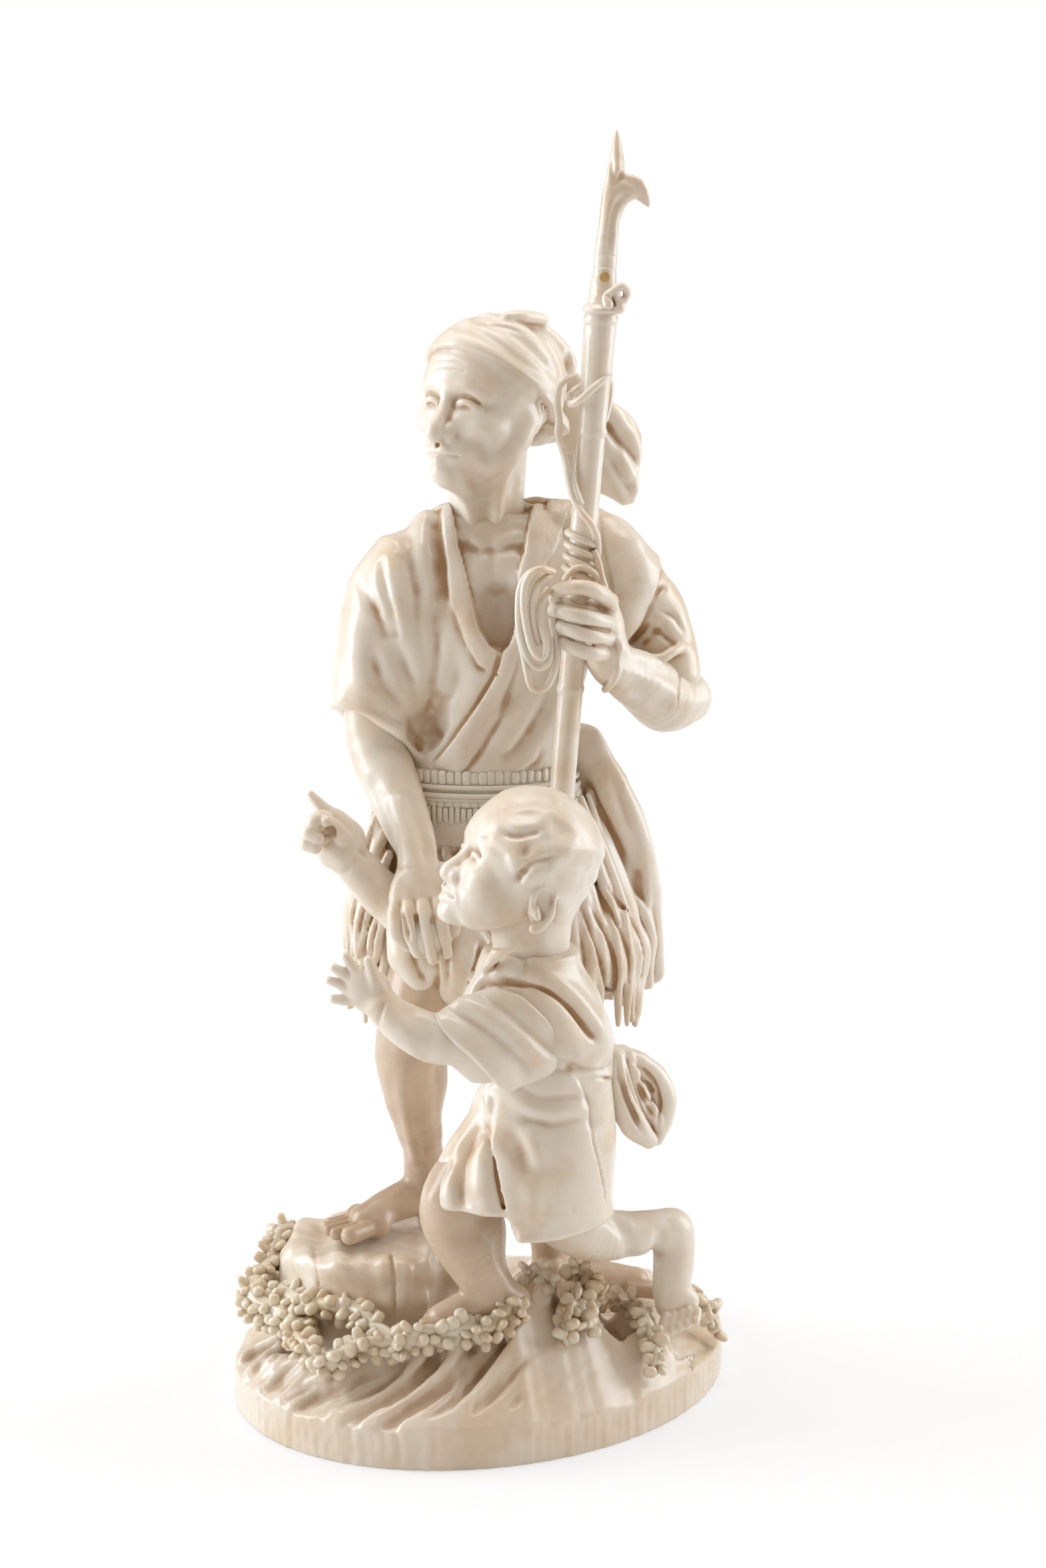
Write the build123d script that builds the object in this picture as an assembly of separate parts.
from build123d import *
import math
import os

# A carved group for a shelf: an old fisherman with a boat hook, one foot on a rock, and a running
# boy who points ahead, on an oval base of breaking waves. +Z is up, -Y is the front, and the origin
# is the middle of the base's underside.

# Every place is a share of this width, the tusk section that the group is laid out on:
# to the right of the middle, back from the middle, and up from the underside.
tuskWidth = 100.0

# Fits, in millimetres
seatGap = 0.15          # round a piece that is let into another
pegGap = 0.06           # round a peg in its bore
overrun = 2.0           # how far a cutter runs past what it cuts

# Base
baseLongRadius = 66.0
baseShortRadius = 56.0
baseTurn = 45.0         # degrees from +X to the long axis
baseWall = 9.5
swellThickness = 3.6
bankThickness = 9.0
sprayThickness = 3.4

# Man
skullRadius = 17.5
neckRadius = 8.8
noseRadius = 1.9
earRadius = 3.4
clothBand = 18.3
clothTailRadius = 6.2
chestRadius = 26.0
collarWidth = 2.6
sleeveRadius = 12.5
sleeveWall = 2.0
armRadius = 7.4
wristRadius = 5.6
palmRadius = 7.8
fingerRadius = 1.9
capeRadius = 12.0
upperArmRadius = 8.5
forearmRadius = 8.0
hipRadius = 26.0
beltRadius = 26.0
skirtRadius = 35.0
strandRadius = 2.3
strandCount = 22
coatRadius = 38.5
shinRadius = 8.6
footRadius = 5.6
toeRadius = 2.1

# Boy
boyHeadRadius = 19.3
boyNeckRadius = 7.4
boyEarRadius = 4.4
boyNoseRadius = 1.7
tunicRadius = 22.0
boySleeveRadius = 12.7
boyArmRadius = 5.8
boyWristRadius = 4.1
boyPalmRadius = 5.0
boyFingerRadius = 1.35
boyShinRadius = 7.2
boyFootRadius = 5.2
sashThickness = 2.0
bowRadius = 3.6

# Boat hook and its line
poleRadius = 3.1
nodeRise = 0.35
nodeLength = 1.2
ferruleRadius = 3.6
collarRise = 0.9
hookRadius = 2.6
tenonRadius = 1.3
tenonLength = 6.0
pinRadius = 1.2
knotRadius = 1.5
lineRadius = 0.75
tieRadius = 1.0
windingTurns = 4
windingSteps = 10
hankTurns = 3
hankSteps = 12
windingPitchGap = 0.7
hankGap = 0.3
hankWideRadius = 3.7
hankTallRadius = 13.2

# Pegs
limbPegRadius = 1.3
bodyPegRadius = 2.4


def at(placeShare):
    return Vector(*(tuskWidth * share for share in placeShare))


def skin(placeShares, width, widthShares, flatShares=1.0, across=(1, 0, 0), grow=0.0, ruled=False):
    """A solid lofted through an oval at each place. The oval is half as wide as width times its
    width share, and its depth is that times its flat share. grow thickens it all round."""
    centres = [at(placeShare) for placeShare in placeShares]
    last = len(centres) - 1
    if not isinstance(flatShares, (list, tuple)):
        flatShares = [flatShares] * (last + 1)
    ovals = []
    for i, centre in enumerate(centres):
        along = (centres[min(i + 1, last)] - centres[max(i - 1, 0)]).normalized()
        side = Vector(*across)
        side = (side - along * side.dot(along)).normalized()
        if i == 0:
            centre = centre - along * grow
        if i == last:
            centre = centre + along * grow
        wide = width * widthShares[i]
        oval = Ellipse(wide + grow, wide * flatShares[i] + grow)
        ovals.append(Plane(origin=centre, x_dir=side, z_dir=along) * oval)
    return loft(ovals, ruled=ruled)


def rod(startShare, endShare, radius, grow=0.0):
    """A straight round bar between two places."""
    start, end = at(startShare), at(endShare)
    along = (end - start).normalized()
    plane = Plane(origin=start - along * grow, z_dir=along)
    return extrude(plane * Circle(radius + grow), (end - start).length + 2 * grow)


def together(first, others):
    for other in others:
        first = first + other
    return first


def between(firstShare, secondShare, share):
    return tuple(a + (b - a) * share for a, b in zip(firstShare, secondShare))


# Base and rock

crestShares = [
    (-0.50, -0.28, 0.13), (-0.37, -0.37, 0.12), (-0.25, -0.39, 0.14), (-0.12, -0.38, 0.18),
    (0.03, -0.36, 0.22), (0.20, -0.31, 0.25), (0.34, -0.26, 0.23), (0.46, -0.17, 0.17), (0.51, -0.08, 0.12),
]
crestWidthShares = [0.5, 0.75, 0.8, 0.95, 1.0, 1.0, 0.9, 0.75, 0.5]
moundShares = [(0.085, 0.005), (0.12, 0.06), (0.143, 0.16), (0.16, 0.30), (0.166, 0.42)]   # height, and how far in from the rim


def baseOval(lift, growth=0.0):
    return Plane.XY.offset(lift) * Rot(0, 0, baseTurn) * Ellipse(baseLongRadius + growth, baseShortRadius + growth)


def baseSlab(grow=0.0):
    slab = extrude(baseOval(-grow, grow), baseWall + 2 * grow)
    mound = loft([baseOval(tuskWidth * height, grow - tuskWidth * inset) for height, inset in moundShares])
    bank = skin(crestShares, bankThickness, crestWidthShares, 0.9, across=(0, 0, 1), grow=grow)
    return together(slab, [mound, bank, *swells(grow)])


def swells(grow=0.0):
    """The furrowed water in front of the crest: ridges that climb from the rim and lean right."""
    made = []
    for i in range(1, len(crestShares) - 1):
        top = crestShares[i]
        reach = math.hypot(top[0], top[1])
        rimShare = (top[0] * 0.52 / reach - 0.12, top[1] * 0.52 / reach, 0.075)
        middle = between(rimShare, top, 0.5)
        middle = (middle[0] + 0.02, middle[1], middle[2] + 0.01)
        upper = (top[0], top[1] - 0.05, top[2] + 0.055)
        made.append(skin([rimShare, middle, upper], swellThickness, [0.5, 1.0, 0.8], 0.8, grow=grow))
    return made


def rock(grow=0.0):
    """A squarish boulder with a broad top for the fisherman's foot."""
    lowShares = [(-0.52, -0.20), (-0.40, -0.34), (-0.22, -0.36), (-0.03, -0.27), (-0.01, -0.02), (-0.20, 0.12), (-0.46, 0.06)]
    levels = [(0.12, 1.0), (0.30, 0.98), (0.39, 0.92), (0.43, 0.78)]
    middle = (-0.27, -0.11)
    faces = []
    for height, spread in levels:
        corners = []
        for x, y in lowShares:
            corner = at((middle[0] + (x - middle[0]) * spread, middle[1] + (y - middle[1]) * spread, 0))
            away = Vector(corner.X - at((*middle, 0)).X, corner.Y - at((*middle, 0)).Y, 0).normalized()
            corners.append(tuple(corner + away * grow)[:2])
        lift = tuskWidth * height + (grow if height == levels[-1][0] else -grow if height == levels[0][0] else 0)
        faces.append(Plane.XY.offset(lift) * make_face(Polyline(*corners, close=True)))
    return loft(faces, ruled=True)


def sprayRock(grow=0.0):
    places = [(-0.49, 0.05, 0.34), (-0.56, -0.08, 0.28), (-0.555, -0.18, 0.25), (-0.49, -0.29, 0.225),
              (-0.38, -0.37, 0.215), (-0.28, -0.40, 0.24)]
    return skin(places, sprayThickness, [0.7, 1.1, 1.2, 1.2, 1.1, 0.7], 1.0, across=(0, 0, 1), grow=grow)


def sprayFront(grow=0.0):
    places = [(-0.27, -0.43, 0.25), (-0.19, -0.455, 0.265), (-0.12, -0.46, 0.285), (-0.05, -0.46, 0.31), (0.035, -0.445, 0.36)]
    return skin(places, sprayThickness, [0.6, 0.9, 0.9, 0.9, 0.5], 1.0, across=(0, 0, 1), grow=grow)


def sprayPeaks(grow=0.0):
    """The two tall breakers below the boy, each a blade that curls up."""
    peakShares = [
        [(0.20, -0.385, 0.27), (0.22, -0.39, 0.35), (0.245, -0.37, 0.42)],
        [(0.33, -0.37, 0.24), (0.375, -0.375, 0.30), (0.41, -0.36, 0.34)],
    ]
    parts = [skin(p, sprayThickness, [1.3, 1.0, 0.35], 0.6, across=(0.8, 0.6, 0), grow=grow) for p in peakShares]
    ridge = skin([peakShares[0][0], (0.27, -0.38, 0.27), peakShares[1][0]], sprayThickness, [1.3, 1.2, 1.3], 0.6,
                 across=(0, 0, 1), grow=grow)
    return together(ridge, parts)


def sprayRight(grow=0.0):
    places = [(0.515, -0.14, 0.14), (0.54, -0.12, 0.21), (0.555, -0.10, 0.26)]
    return skin(places, sprayThickness, [1.2, 1.0, 0.35], 0.6, across=(0.8, 0.6, 0), grow=grow)


# Man

faceWay = (-0.64, -0.77, 0)


def manHead(grow=0.0):
    neck = skin([(0.035, 0.05, 2.14), (0.03, 0.045, 2.25), (0.025, 0.03, 2.38)],
                neckRadius, [1.0, 1.0, 1.1], 0.95, across=faceWay, grow=grow)
    skullShares = [(0.008, 0.002, 2.29), (0.011, 0.005, 2.33), (0.024, 0.021, 2.40), (0.030, 0.028, 2.48),
                   (0.037, 0.036, 2.56), (0.046, 0.048, 2.62), (0.053, 0.055, 2.66)]
    skull = skin(skullShares, skullRadius, [0.42, 0.68, 0.90, 0.98, 0.98, 0.82, 0.56], [0.85, 0.80, 0.79, 0.80, 0.82, 0.84, 0.86],
                 across=faceWay, grow=grow)
    band = skin([(0.040, 0.040, 2.51), (0.038, 0.038, 2.55), (0.040, 0.042, 2.59)], clothBand, [0.96, 1.0, 0.92], 0.82,
                across=faceWay, grow=grow)
    nose = skin([(-0.070, -0.090, 2.50), (-0.098, -0.122, 2.45), (-0.085, -0.108, 2.44)], noseRadius, [0.7, 1.0, 0.6], grow=grow)
    ear = skin([(0.148, -0.02, 2.42), (0.155, -0.02, 2.46), (0.152, -0.01, 2.50)], earRadius, [0.6, 1.0, 0.6], 0.5,
               across=(0.3, 1, 0), grow=grow)
    return together(neck, [skull, band, nose, ear])


def headClothTails(grow=0.0):
    """The knotted ends of the head cloth, blown out behind the neck."""
    long = skin([(0.17, 0.16, 2.44), (0.24, 0.18, 2.42), (0.32, 0.19, 2.36), (0.36, 0.19, 2.28), (0.37, 0.18, 2.21)],
                clothTailRadius, [0.55, 0.9, 1.1, 1.0, 0.8], [0.7, 0.5, 0.4, 0.35, 0.35], across=(1, 0, 0.6), grow=grow)
    short = skin([(0.17, 0.16, 2.46), (0.175, 0.175, 2.40), (0.19, 0.18, 2.33)], clothTailRadius, [0.5, 0.6, 0.4], 0.6, grow=grow)
    return long + short


def manTorso(grow=0.0):
    bodyShares = [(0.0, 0.03, 1.49), (0.01, 0.02, 1.60), (0.02, 0.01, 1.76), (0.03, 0.01, 1.92), (0.04, 0.03, 2.05),
                  (0.04, 0.04, 2.14), (0.035, 0.05, 2.21)]
    body = skin(bodyShares, chestRadius, [0.85, 0.81, 0.88, 1.0, 1.08, 0.96, 0.58], [0.68, 0.70, 0.68, 0.64, 0.56, 0.52, 0.66],
                grow=grow)
    cape = skin([(0.22, 0.05, 2.14), (0.29, 0.045, 2.10), (0.35, 0.035, 2.03), (0.375, 0.02, 1.95)], capeRadius,
                [0.75, 0.98, 1.0, 0.92], 0.85, across=(0.8, 0, 0.6), grow=grow)
    rightBand = skin([(-0.075, -0.03, 2.235), (-0.05, -0.10, 2.08), (0.03, -0.155, 1.92), (0.07, -0.165, 1.84)],
                     collarWidth, [0.8, 1.0, 1.0, 0.8], 0.6, across=(1, -0.3, 0.3), grow=grow)
    leftBand = skin([(0.135, -0.03, 2.235), (0.125, -0.10, 2.08), (0.075, -0.16, 1.91), (-0.03, -0.175, 1.72), (-0.12, -0.165, 1.58)],
                    collarWidth, [0.8, 1.0, 1.0, 1.0, 0.8], 0.6, across=(1, -0.3, 0.3), grow=grow)
    return together(body, [cape, rightBand, leftBand])


def manSleeveRight(grow=0.0):
    places = [(-0.19, 0.04, 2.14), (-0.235, 0.03, 2.06), (-0.26, 0.0, 1.92), (-0.26, -0.025, 1.78), (-0.25, -0.045, 1.67)]
    sleeve = skin(places, sleeveRadius, [0.62, 0.86, 0.94, 0.96, 1.0], 0.85, grow=grow)
    if grow:
        return sleeve
    mouth = skin([(-0.255, -0.035, 1.73), places[-1], (-0.245, -0.06, 1.64)], sleeveRadius - sleeveWall, [0.8, 1.0, 1.0], 0.85)
    return sleeve - mouth


def fingers(startShares, endShares, radius, bow, grow=0.0):
    """One finger from each start to each end, bowed out by the share bow at the middle joint."""
    made = []
    for start, end in zip(startShares, endShares):
        knuckle = between(start, end, 0.5)
        knuckle = tuple(k + b for k, b in zip(knuckle, bow))
        near = between(start, end, 0.9)
        made.append(skin([start, knuckle, near, end], radius, [1.05, 1.0, 0.9, 0.5], across=(0, 1, 0.1), grow=grow))
    return made


def manArmRight(grow=0.0):
    """The bare arm that comes out of the right sleeve, with its open hand."""
    places = [(-0.25, -0.02, 1.82), (-0.255, -0.03, 1.72), (-0.245, -0.05, 1.63), (-0.20, -0.12, 1.53), (-0.15, -0.21, 1.415)]
    arm = skin(places, armRadius, [0.97, 1.0, 0.97, 0.84, 0.74], 0.95, grow=grow)
    palm = skin([places[-1], (-0.142, -0.25, 1.35), (-0.14, -0.285, 1.27)], palmRadius, [0.70, 0.92, 1.0], [0.95, 0.62, 0.45], grow=grow)
    starts = [(-0.192, -0.285, 1.275), (-0.158, -0.29, 1.275), (-0.124, -0.29, 1.275), (-0.090, -0.285, 1.275)]
    ends = [(-0.172, -0.275, 1.195), (-0.142, -0.28, 1.175), (-0.108, -0.28, 1.16), (-0.078, -0.275, 1.175)]
    thumb = skin([(-0.075, -0.255, 1.36), (-0.05, -0.265, 1.31), (-0.045, -0.27, 1.265)], fingerRadius, [1.3, 1.0, 0.6], across=(0, 1, 0), grow=grow)
    return together(arm, [palm, thumb, *fingers(starts, ends, fingerRadius, (0, -0.012, 0), grow)])


def manArmLeft(grow=0.0):
    """The upper arm in its rolled under-sleeve, bent at the elbow."""
    return skin([(0.34, 0.04, 2.04), (0.405, 0.04, 1.97), (0.445, 0.035, 1.87), (0.465, 0.02, 1.78)], upperArmRadius,
                [0.92, 1.0, 1.0, 0.95], 0.95, across=(1, 0, 0.5), grow=grow)


def manForearmLeft(grow=0.0):
    places = [(0.505, 0.045, 1.725), (0.475, 0.015, 1.745), (0.41, -0.055, 1.78), (0.345, -0.125, 1.825)]
    return skin(places, forearmRadius, [0.55, 1.0, 0.92, 0.70], 0.95, across=(0, 0, 1), grow=grow)


def manHandLeft(grow=0.0):
    """A fist round the pole: its bore is cut by the pole itself."""
    palm = skin([(0.345, -0.125, 1.825), (0.305, -0.155, 1.87), (0.295, -0.165, 1.935), (0.30, -0.165, 2.02)], palmRadius,
                [0.70, 0.85, 0.82, 0.55], [0.95, 0.55, 0.50, 0.60], across=(0.3, 1, 0.1), grow=grow)
    parts = []
    for i in range(4):
        low = poleAt(2.025 - 0.042 * i)
        ring = [(0.070, 0.005), (0.050, -0.042), (0.0, -0.062), (-0.045, -0.048), (-0.058, -0.02)]
        places = [(low[0] + x, low[1] + y, low[2] - 0.006 * k) for k, (x, y) in enumerate(ring)]
        parts.append(skin(places, fingerRadius, [1.1, 1.1, 1.05, 1.0, 0.6], across=(0, 0, 1), grow=grow))
    heel = skin([(0.30, -0.12, 1.90), (0.27, -0.10, 1.98), (0.21, -0.105, 2.04)], fingerRadius, [1.6, 1.4, 0.9], across=(0, 0, 1), grow=grow)
    return together(palm, [heel, *parts])


def manHips(grow=0.0):
    places = [(0.0, 0.03, 1.485), (0.01, 0.03, 1.38), (0.01, 0.025, 1.25), (0.0, 0.02, 1.12)]
    return skin(places, hipRadius, [0.85, 0.92, 1.0, 0.94], [0.68, 0.62, 0.60, 0.60], grow=grow)


def strawBelt(grow=0.0):
    places = [(0.0, 0.03, 1.445), (0.0, 0.03, 1.48), (0.0, 0.03, 1.53), (0.005, 0.025, 1.575)]
    return skin(places, beltRadius, [0.98, 1.0, 0.96, 0.90], 0.70, grow=grow)


skirtPlaces = [(0.0, 0.03, 1.445), (0.01, 0.03, 1.32), (0.02, 0.03, 1.18), (0.02, 0.03, 1.04)]
skirtSpreadShares = [0.70, 0.86, 0.97, 1.0]
skirtFlatShare = 0.56
openShare = -0.15       # rushes stand proud only this far forward of the middle, where no coat lies over them


def strawSkirt(grow=0.0):
    """The rush skirt: a flared mass with round strands in front that hang past its hem."""
    shell = skin(skirtPlaces, skirtRadius, skirtSpreadShares, skirtFlatShare, grow=grow)
    if grow:
        return shell
    strands = []
    for i in range(strandCount):
        turn = 2 * math.pi * (i + 0.5) / strandCount
        if math.sin(turn) > openShare:
            continue
        reach = skirtRadius / tuskWidth
        line = [(c[0] + reach * s * math.cos(turn), c[1] + reach * s * skirtFlatShare * math.sin(turn), c[2])
                for c, s in zip(skirtPlaces, skirtSpreadShares)]
        drop = 0.05 * (1 + 0.6 * math.cos(turn))
        tip = (line[-1][0], line[-1][1], line[-1][2] - drop)
        strands.append(skin([*line[1:], tip], strandRadius, [0.9, 1.1, 1.0, 0.4], across=(0, 1, 0.01)))
    return together(shell, strands)


def coatTails(grow=0.0):
    """The back of the coat below the belt, from the left hip round behind, over the rush skirt."""
    places = [(0.03, 0.03, 1.66), (0.04, 0.03, 1.50), (0.05, 0.04, 1.28), (0.055, 0.04, 1.12), (0.055, 0.045, 0.99)]
    fall = skin(places, coatRadius, [0.70, 0.78, 0.94, 0.99, 1.0], 0.64, grow=grow)
    under = skin([*skirtPlaces, (0.02, 0.03, 0.95)], skirtRadius, [*skirtSpreadShares, 1.0], skirtFlatShare, grow=2 * seatGap)
    front = Pos(*at((0.04, 0.03 - 0.5, 1.3))) * Box(3 * coatRadius, tuskWidth, tuskWidth)
    return fall - under - front


def manLegRight(grow=0.0):
    places = [(-0.12, -0.08, 1.14), (-0.145, -0.12, 1.02), (-0.175, -0.13, 0.88), (-0.165, -0.12, 0.77), (-0.14, -0.09, 0.62), (-0.135, -0.07, 0.52)]
    leg = skin(places, shinRadius, [1.08, 1.05, 0.93, 0.80, 0.58, 0.62], 0.95, grow=grow)
    foot = skin([(-0.10, -0.02, 0.485), (-0.15, -0.07, 0.495), (-0.22, -0.115, 0.49), (-0.30, -0.17, 0.465)], footRadius,
                [0.75, 0.95, 1.0, 1.1], [0.9, 0.9, 0.75, 0.5], across=(-0.5, 0.8, 0), grow=grow)
    toeStarts = [(-0.27, -0.195, 0.46), (-0.295, -0.178, 0.46), (-0.315, -0.155, 0.46), (-0.325, -0.13, 0.46), (-0.33, -0.105, 0.458)]
    toeEnds = [(-0.305, -0.25, 0.455), (-0.345, -0.225, 0.452), (-0.365, -0.19, 0.452), (-0.37, -0.155, 0.452), (-0.368, -0.125, 0.452)]
    return together(leg, [foot, *fingers(toeStarts, toeEnds, toeRadius, (0, 0, 0.004), grow)])


def manLegLeft(grow=0.0):
    places = [(0.12, 0.05, 1.14), (0.14, 0.07, 0.92), (0.16, 0.085, 0.70), (0.17, 0.085, 0.48), (0.175, 0.085, 0.30), (0.175, 0.08, 0.225)]
    leg = skin(places, shinRadius, [1.10, 1.02, 0.95, 0.78, 0.55, 0.60], 0.95, grow=grow)
    foot = skin([(0.13, 0.07, 0.205), (0.20, 0.09, 0.215), (0.30, 0.11, 0.215), (0.40, 0.13, 0.205)], footRadius,
                [0.75, 0.95, 1.0, 1.1], [0.9, 0.9, 0.75, 0.5], across=(0, 1, 0), grow=grow)
    toeStarts = [(0.39, 0.085 + 0.022 * i, 0.20) for i in range(5)]
    toeEnds = [(0.455 - 0.012 * i, 0.085 + 0.026 * i, 0.193) for i in range(5)]
    return together(leg, [foot, *fingers(toeStarts, toeEnds, toeRadius, (0, 0, 0.004), grow)])


# Boat hook and its line

poleLowShare = (0.195, -0.20, 1.50)
poleRunShare = (0.08, 0.094, 1.0)


def poleAt(height):
    rise = height - poleLowShare[2]
    return tuple(low + run * rise for low, run in zip(poleLowShare, poleRunShare))


def poleShaft(grow=0.0):
    heights = [1.50, 1.70, 1.96, 2.18, 2.40, 2.655]
    shaft = skin([poleAt(h) for h in heights], poleRadius, [0.94, 0.92, 0.96, 1.0, 1.04, 1.20], grow=grow)
    reach = nodeLength / tuskWidth / 2
    nodes = [rod(poleAt(h - reach), poleAt(h + reach), poleRadius * s + nodeRise, grow) for h, s in ((1.80, 0.94), (2.40, 1.04))]
    return together(shaft, nodes)


def poleFerrule(grow=0.0):
    body = skin([poleAt(h) for h in (2.655, 2.70, 2.785)], ferruleRadius, [1.05, 1.0, 0.78], grow=grow)
    lower = rod(poleAt(2.655), poleAt(2.675), ferruleRadius + collarRise / 2, grow)
    upper = rod(poleAt(2.678), poleAt(2.70), ferruleRadius + collarRise, grow)
    return together(body, [lower, upper])


def poleHook(grow=0.0):
    """The forked iron: a straight spike, and a hook that turns back from it."""
    spike = skin([poleAt(2.785), poleAt(2.86), poleAt(2.94), poleAt(3.00), poleAt(3.05), poleAt(3.10)], hookRadius,
                 [1.06, 1.03, 0.98, 0.84, 0.55, 0.12], [1.0, 1.0, 0.9, 0.75, 0.7, 0.7], grow=grow)
    root, peak = poleAt(2.87), poleAt(2.97)
    hook = skin([root, (peak[0] + 0.018, peak[1], 2.935), (peak[0] + 0.047, peak[1], 2.968), (peak[0] + 0.075, peak[1], 2.955),
                 (peak[0] + 0.083, peak[1], 2.922)], hookRadius, [0.8, 0.85, 0.78, 0.6, 0.15], 0.8, across=(0.7, 0, 0.7), grow=grow)
    tenon = rod(poleAt(2.785 - tenonLength / tuskWidth), poleAt(2.80), tenonRadius, grow)
    return together(spike, [hook, tenon])


def polePin(grow=0.0):
    """The yellow pin that holds the hook's tenon in its ferrule."""
    middle = at(poleAt(2.765))
    length = 2 * ferruleRadius * 0.86
    return extrude(Plane(origin=middle - Vector(0, length / 2 + grow, 0), z_dir=(0, 1, 0)) * Circle(pinRadius + grow), length + 2 * grow)


def poleKnot(grow=0.0):
    """The trimmed twig stubs that stand out beside the ferrule."""
    base = poleAt(2.72)
    stubs = [[(0.030, -0.004, 0.0), (0.045, -0.008, 0.012), (0.056, -0.010, 0.030), (0.052, -0.006, 0.044)],
             [(0.030, -0.006, -0.01), (0.040, -0.022, -0.005), (0.032, -0.036, 0.0)]]
    made = [skin([tuple(b + o for b, o in zip(base, offset)) for offset in stub], knotRadius, [0.9] + [1.1] * (len(stub) - 2) + [0.8],
                 across=(0, 1, 0.2), grow=grow) for stub in stubs]
    return together(made[0], made[1:])


def lineWinding(grow=0.0):
    """The fishing line wound down the pole above the fist, as one unbroken turn after turn."""
    pitch = 2 * lineRadius + windingPitchGap
    places = []
    for step in range(windingTurns * windingSteps + 1):
        turn = 2 * math.pi * step / windingSteps
        height = 2.16 - pitch / tuskWidth * step / windingSteps
        middle = poleAt(height)
        reach = (poleRadius * 1.02 + seatGap + lineRadius) / tuskWidth
        places.append((middle[0] + reach * math.cos(turn), middle[1] + reach * math.sin(turn), height))
    print("winding: least gap between turns", round(windingPitchGap, 2), "mm")
    return skin(places, lineRadius, [1.0] * len(places), across=(0, 0, 1), grow=grow)


def lineHank(grow=0.0):
    """The hank that hangs in front of the fist: one line in long loops, each before the last."""
    places = []
    for step in range(hankTurns * hankSteps + 1):
        turn = math.pi / 2 + 2 * math.pi * step / hankSteps
        before = (2 * lineRadius + hankGap) * step / hankSteps / tuskWidth
        places.append((0.132 + hankWideRadius / tuskWidth * math.cos(turn), -0.262 - before,
                       1.975 + hankTallRadius / tuskWidth * math.sin(turn)))
    print("hank: gap between loops", round(hankGap, 2), "mm")
    loops = skin(places, lineRadius, [1.0] * len(places), across=(0, 1, 0), grow=grow)
    return loops + rod((0.2055, -0.179, 2.10), places[0], lineRadius, grow)


def lineTie(grow=0.0):
    """The line's upper end: a loop round the pole, then down beside it to the winding."""
    reach = poleRadius * 1.06 + seatGap + tieRadius
    middle = poleAt(2.50)
    ring = Plane(origin=at(middle), z_dir=(0.45, -0.1, 1)) * Torus(reach, tieRadius + grow)
    side = middle[0] - reach / tuskWidth
    places = [(side, middle[1] - 0.01, 2.475), (side - 0.008, middle[1] - 0.02, 2.42), (side - 0.002, middle[1] - 0.03, 2.35),
              (0.206, -0.16, 2.27), (0.214, -0.185, 2.20), (0.224, -0.196, 2.165)]
    strand = skin(places, tieRadius, [0.9, 1.0, 1.0, 1.0, 1.0, 0.8], across=(0, 1, 0.3), grow=grow)
    return ring + strand


def lineTail(grow=0.0):
    """The line's long loose bight that drops from the winding over the back of the fist."""
    places = [(0.300, -0.165, 2.13), (0.318, -0.195, 2.09), (0.325, -0.215, 2.04), (0.335, -0.218, 1.98), (0.335, -0.210, 1.92)]
    return skin(places, lineRadius, [1.0, 1.1, 1.1, 1.1, 0.9], across=(0, 1, 0.1), grow=grow)


# Boy

def boyHead(grow=0.0):
    neck = skin([(0.11, -0.37, 1.165), (0.11, -0.37, 1.23), (0.112, -0.37, 1.29)], boyNeckRadius, [1.0, 1.0, 1.1], grow=grow)
    places = [(0.112, -0.37, 1.245), (0.108, -0.37, 1.29), (0.108, -0.37, 1.36), (0.112, -0.37, 1.43), (0.115, -0.37, 1.50),
              (0.118, -0.37, 1.56), (0.12, -0.37, 1.593)]
    skull = skin(places, boyHeadRadius, [0.46, 0.76, 0.95, 1.0, 0.93, 0.70, 0.38], [0.9, 0.9, 0.9, 0.9, 0.92, 0.94, 0.95], grow=grow)
    ear = skin([(0.145, -0.542, 1.305), (0.152, -0.548, 1.345), (0.16, -0.545, 1.385)], boyEarRadius, [0.55, 1.0, 0.7], 0.45, grow=grow)
    nose = skin([(-0.07, -0.42, 1.41), (-0.09, -0.43, 1.385), (-0.07, -0.42, 1.37)], boyNoseRadius, [0.7, 1.0, 0.7], grow=grow)
    return together(neck, [skull, ear, nose])


def boyTunic(grow=0.0):
    places = [(0.11, -0.37, 1.21), (0.105, -0.37, 1.15), (0.13, -0.365, 1.05), (0.155, -0.36, 0.94), (0.15, -0.36, 0.84),
              (0.135, -0.365, 0.74), (0.105, -0.37, 0.63), (0.105, -0.37, 0.555)]
    return skin(places, tunicRadius, [0.36, 0.60, 0.73, 0.735, 0.82, 0.92, 1.02, 1.04],
                [0.92, 0.84, 0.80, 0.78, 0.75, 0.72, 0.70, 0.69], grow=grow)


def boySash(grow=0.0):
    places = [(0.152, -0.36, 0.965), (0.156, -0.36, 0.93), (0.153, -0.36, 0.895)]
    return skin(places, tunicRadius, [0.80, 0.84, 0.86], 0.80, grow=grow)


def boyBow(grow=0.0):
    """The sash's bow at the back: a full loop over a narrow one, with a tucked end."""
    wide = skin([(0.315, -0.31, 0.93), (0.37, -0.28, 0.905), (0.43, -0.25, 0.84), (0.44, -0.245, 0.76), (0.41, -0.25, 0.70)],
                bowRadius, [0.7, 1.15, 1.2, 1.0, 0.6], 0.85, across=(1, 0.2, 0.3), grow=grow)
    narrow = skin([(0.315, -0.32, 0.90), (0.345, -0.305, 0.83), (0.375, -0.285, 0.75), (0.40, -0.27, 0.69)],
                  bowRadius, [0.7, 0.9, 0.9, 0.5], 0.8, across=(1, 0.2, 0.3), grow=grow)
    return wide + narrow


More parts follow.
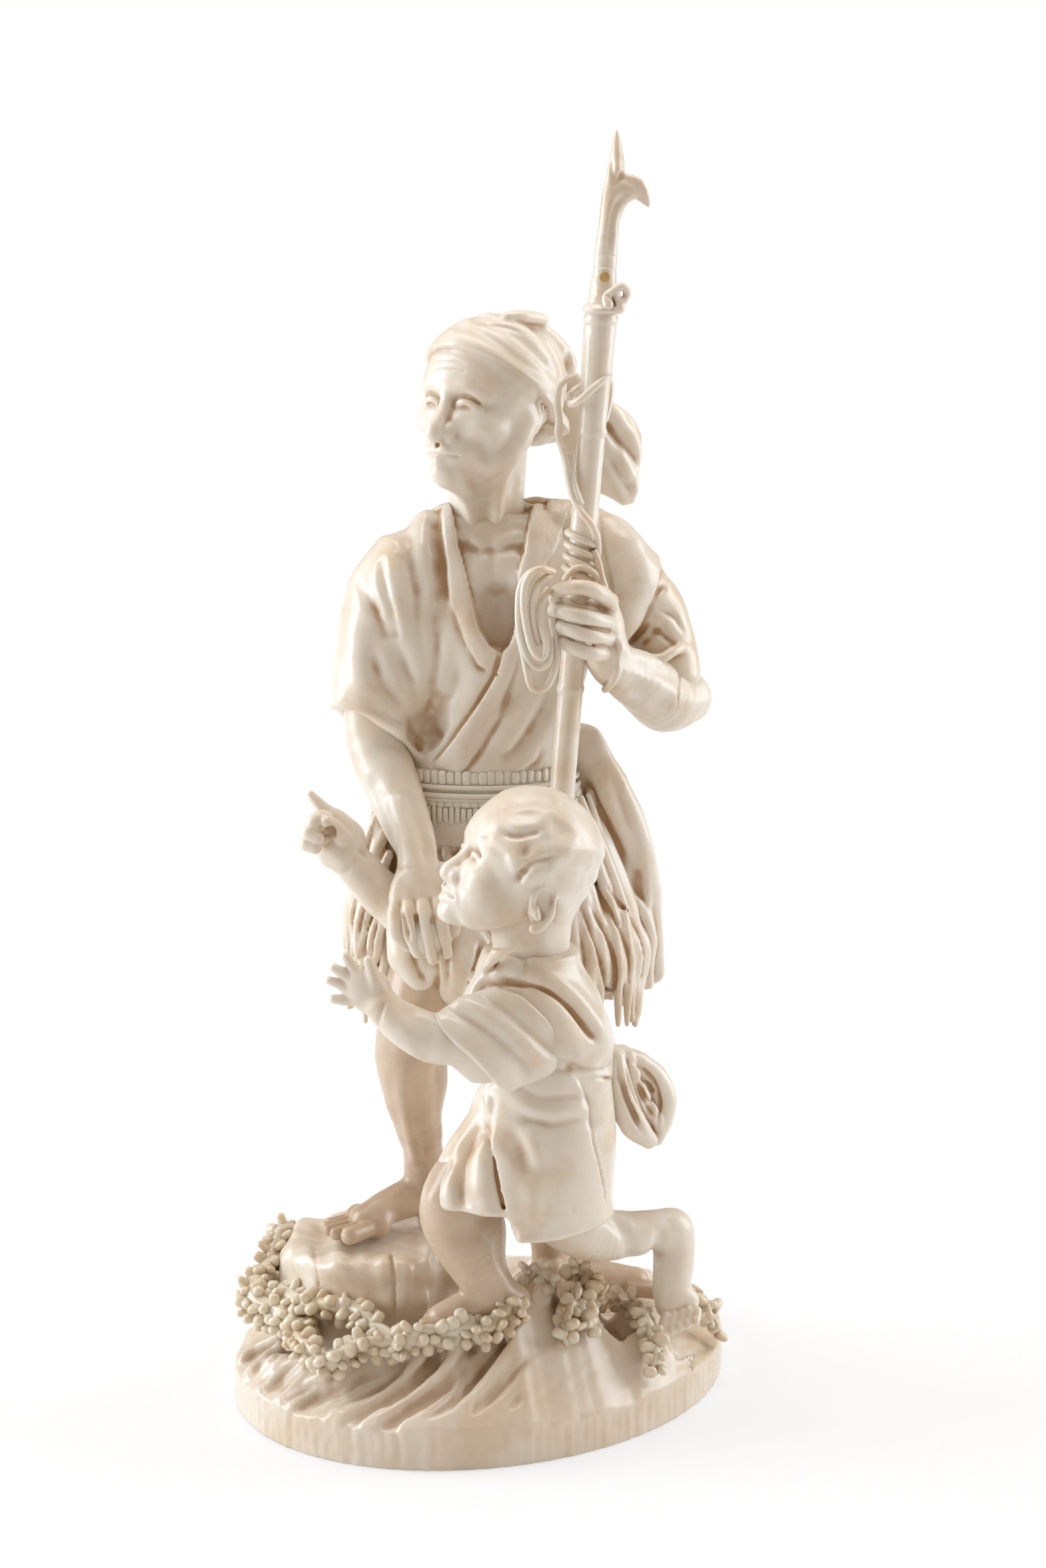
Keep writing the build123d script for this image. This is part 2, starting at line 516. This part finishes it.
def boySleeve(grow=0.0):
    places = [(0.16, -0.43, 1.12), (0.08, -0.475, 1.07), (-0.01, -0.50, 1.01)]
    sleeve = skin(places, boySleeveRadius, [0.66, 0.90, 1.0], [0.80, 0.64, 0.54], across=(0.7, 0, -0.7), grow=grow)
    if grow:
        return sleeve
    mouth = skin([(0.03, -0.49, 1.035), places[-1], (-0.04, -0.508, 0.99)], boySleeveRadius - sleeveWall * 0.6, [0.85, 1.0, 1.0], 0.48,
                 across=(0.7, 0, -0.7))
    return sleeve - mouth


def boyArmLeft(grow=0.0):
    places = [(0.06, -0.475, 1.05), (-0.02, -0.50, 1.025), (-0.10, -0.51, 1.035), (-0.17, -0.505, 1.06), (-0.22, -0.50, 1.085)]
    arm = skin(places, boyArmRadius, [0.95, 1.0, 0.98, 0.86, 0.70], across=(0, 1, 0), grow=grow)
    palm = skin([places[-1], (-0.25, -0.495, 1.11), (-0.278, -0.49, 1.145)], boyPalmRadius, [0.80, 1.0, 0.95], [0.9, 0.60, 0.45],
                across=(0.7, 0, 0.7), grow=grow)
    starts = [(-0.262, -0.49, 1.17), (-0.284, -0.49, 1.165), (-0.30, -0.49, 1.15), (-0.298, -0.49, 1.125), (-0.24, -0.49, 1.14)]
    ends = [(-0.310, -0.485, 1.232), (-0.338, -0.485, 1.205), (-0.346, -0.485, 1.17), (-0.335, -0.485, 1.125), (-0.245, -0.48, 1.225)]
    return together(arm, [palm, *fingers(starts, ends, boyFingerRadius, (0, -0.004, 0), grow)])


def boyArmRight(grow=0.0):
    """The far arm, raised to point ahead, with a closed hand and one straight finger."""
    places = [(0.03, -0.29, 1.10), (-0.05, -0.26, 1.135), (-0.14, -0.235, 1.20), (-0.23, -0.215, 1.295), (-0.30, -0.20, 1.365)]
    arm = skin(places, boyArmRadius, [1.0, 1.05, 1.0, 0.86, 0.72], across=(0, 1, 0), grow=grow)
    palm = skin([places[-1], (-0.335, -0.20, 1.41), (-0.355, -0.20, 1.47)], boyPalmRadius, [0.82, 1.15, 0.9], [0.95, 0.85, 0.85],
                across=(0.8, 0, 0.5), grow=grow)
    pointing = skin([(-0.350, -0.195, 1.46), (-0.378, -0.19, 1.515), (-0.395, -0.19, 1.55)], boyFingerRadius, [1.1, 0.95, 0.5],
                    across=(0, 1, 0), grow=grow)
    curled = [skin([(-0.35, -0.185, 1.475 - 0.032 * i), (-0.385, -0.20, 1.47 - 0.032 * i), (-0.375, -0.235, 1.46 - 0.032 * i)],
                   boyFingerRadius, [1.0, 1.1, 0.8], across=(0, 0, 1), grow=grow) for i in range(3)]
    return together(arm, [palm, pointing, *curled])


def boyLegFront(grow=0.0):
    places = [(0.08, -0.37, 0.70), (-0.02, -0.375, 0.65), (-0.062, -0.38, 0.57), (-0.035, -0.38, 0.49), (0.01, -0.38, 0.41), (0.045, -0.375, 0.35)]
    leg = skin(places, boyShinRadius, [1.15, 1.15, 1.05, 0.98, 0.90, 0.82], 0.98, across=(0, 1, 0), grow=grow)
    foot = skin([(0.08, -0.365, 0.335), (0.03, -0.38, 0.335), (-0.04, -0.40, 0.32), (-0.09, -0.415, 0.305)], boyFootRadius,
                [0.75, 0.95, 1.0, 0.8], [0.85, 0.8, 0.65, 0.5], across=(0.3, 1, 0), grow=grow)
    return leg + foot


def boyLegRear(grow=0.0):
    """The trailing leg: the calf lies nearly level, and the foot stands on its toes."""
    places = [(0.13, -0.35, 0.64), (0.20, -0.33, 0.54), (0.27, -0.305, 0.475), (0.36, -0.27, 0.465), (0.45, -0.23, 0.465)]
    leg = skin(places, boyShinRadius, [1.15, 1.10, 0.92, 0.75, 0.68], 0.98, across=(0, 1, 0), grow=grow)
    foot = skin([(0.47, -0.222, 0.50), (0.478, -0.222, 0.42), (0.48, -0.228, 0.33), (0.475, -0.24, 0.27)], boyFootRadius,
                [0.8, 1.0, 0.95, 1.05], [0.9, 0.8, 0.65, 0.5], across=(0.9, 0.4, 0), grow=grow)
    starts = [(0.435 + 0.020 * i, -0.262 + 0.008 * i, 0.285) for i in range(5)]
    ends = [(0.430 + 0.021 * i, -0.285 + 0.008 * i, 0.248) for i in range(5)]
    return together(leg, [foot, *fingers(starts, ends, boyFingerRadius, (0, -0.004, 0), grow)])


# Pegs: each goes half into one piece and half into the other.

limbPegPlaces = [
    ((-0.252, -0.025, 1.90), (-0.253, -0.028, 1.75)),
    ((0.452, 0.03, 1.84), (0.472, 0.012, 1.71)),
    ((0.375, -0.093, 1.803), (0.315, -0.148, 1.858)),
    ((0.11, -0.465, 1.075), (0.0, -0.495, 1.035)),
    ((0.08, -0.31, 1.085), (-0.02, -0.27, 1.12)),
    ((0.045, -0.375, 0.24), (0.045, -0.375, 0.38)),
    ((0.14, -0.369, 0.73), (0.03, -0.372, 0.675)),
    ((0.17, -0.34, 0.74), (0.17, -0.34, 0.60)),
]
bodyPegPlaces = [
    ((0.032, 0.048, 2.06), (0.030, 0.044, 2.26)),
    ((0.005, 0.03, 1.38), (0.005, 0.03, 1.72)),
    ((0.11, -0.37, 1.09), (0.11, -0.37, 1.26)),
    ((-0.135, -0.075, 0.36), (-0.135, -0.075, 0.56)),
    ((0.175, 0.082, 0.10), (0.175, 0.082, 0.29)),
]


def limbPegs(grow=0.0):
    return [rod(start, end, limbPegRadius, grow) for start, end in limbPegPlaces]


def bodyPegs(grow=0.0):
    return [rod(start, end, bodyPegRadius, grow) for start, end in bodyPegPlaces]


makers = {
    "base_slab": baseSlab, "rock": rock, "spray_rock": sprayRock, "spray_front": sprayFront, "spray_peaks": sprayPeaks,
    "spray_right": sprayRight,
    "man_head": manHead, "head_cloth_tails": headClothTails, "man_torso": manTorso, "man_sleeve_right": manSleeveRight,
    "man_arm_right": manArmRight, "man_arm_left": manArmLeft, "man_forearm_left": manForearmLeft, "man_hand_left": manHandLeft,
    "man_hips": manHips, "straw_belt": strawBelt, "straw_skirt": strawSkirt, "coat_tails": coatTails,
    "man_leg_right": manLegRight, "man_leg_left": manLegLeft,
    "pole_shaft": poleShaft, "pole_ferrule": poleFerrule, "pole_hook": poleHook, "pole_pin": polePin, "pole_knot": poleKnot,
    "line_winding": lineWinding, "line_hank": lineHank, "line_tie": lineTie, "line_tail": lineTail,
    "boy_head": boyHead, "boy_tunic": boyTunic, "boy_sash": boySash, "boy_bow": boyBow, "boy_sleeve": boySleeve,
    "boy_arm_left": boyArmLeft, "boy_arm_right": boyArmRight, "boy_leg_front": boyLegFront, "boy_leg_rear": boyLegRear,
}

# Each piece on the left is cut to receive the pieces on its right.
letIn = {
    "base_slab": ["rock", "man_leg_left", "boy_leg_front", "boy_leg_rear", "spray_rock", "spray_front", "spray_peaks", "spray_right"],
    "rock": ["man_leg_right", "boy_leg_front"],
    "spray_rock": ["rock"],
    "spray_front": ["boy_leg_front"],
    "spray_peaks": ["boy_leg_rear", "boy_leg_front"],
    "man_torso": ["man_head", "man_sleeve_right", "man_arm_right", "man_arm_left", "man_hand_left", "straw_belt", "man_hips"],
    "man_sleeve_right": ["man_arm_right"],
    "man_arm_left": ["man_forearm_left"],
    "man_forearm_left": ["man_hand_left"],
    "man_hand_left": ["pole_shaft", "line_tail"],
    "head_cloth_tails": ["man_head", "pole_shaft"],
    "man_hips": ["man_leg_right", "man_leg_left"],
    "straw_belt": ["man_hips", "man_arm_right"],
    "straw_skirt": ["man_hips", "straw_belt", "man_leg_right", "man_leg_left", "boy_arm_right", "man_arm_right"],
    "coat_tails": ["man_torso", "man_hips", "straw_belt"],
    "boy_arm_right": ["man_arm_right", "boy_leg_front"],
    "pole_ferrule": ["pole_hook", "pole_pin", "pole_shaft"],
    "pole_hook": ["pole_pin"],
    "pole_knot": ["pole_ferrule"],
    "pole_shaft": ["pole_hook"],
    "boy_head": ["pole_shaft"],
    "boy_tunic": ["boy_head", "boy_sleeve", "boy_arm_right", "boy_leg_front", "boy_leg_rear"],
    "boy_sash": ["boy_tunic", "boy_sleeve"],
    "boy_bow": ["boy_sash", "boy_tunic"],
    "boy_sleeve": ["boy_arm_left", "boy_head"],
    "line_tie": ["pole_shaft"],
}


def largest(shape):
    return max(shape.solids(), key=lambda solid: solid.volume)


def finished(name):
    """One piece with its seats and peg bores cut."""
    shape = makers[name]()
    for guest in letIn.get(name, []):
        shape = shape - makers[guest](seatGap)
    if not name.startswith(("pole", "line", "spray")):
        for peg in [*limbPegs(pegGap), *bodyPegs(pegGap)]:
            if shape.bounding_box().overlaps(peg.bounding_box()):
                shape = shape - peg
    return largest(shape)


def build():
    os.makedirs("parts", exist_ok=True)
    for name in makers:
        export_step(finished(name), f"parts/{name}.step")
        print(name, "made", flush=True)
    export_step(Compound(children=limbPegs()), "parts/limb_pegs.step")
    export_step(Compound(children=bodyPegs()), "parts/body_pegs.step")


build()
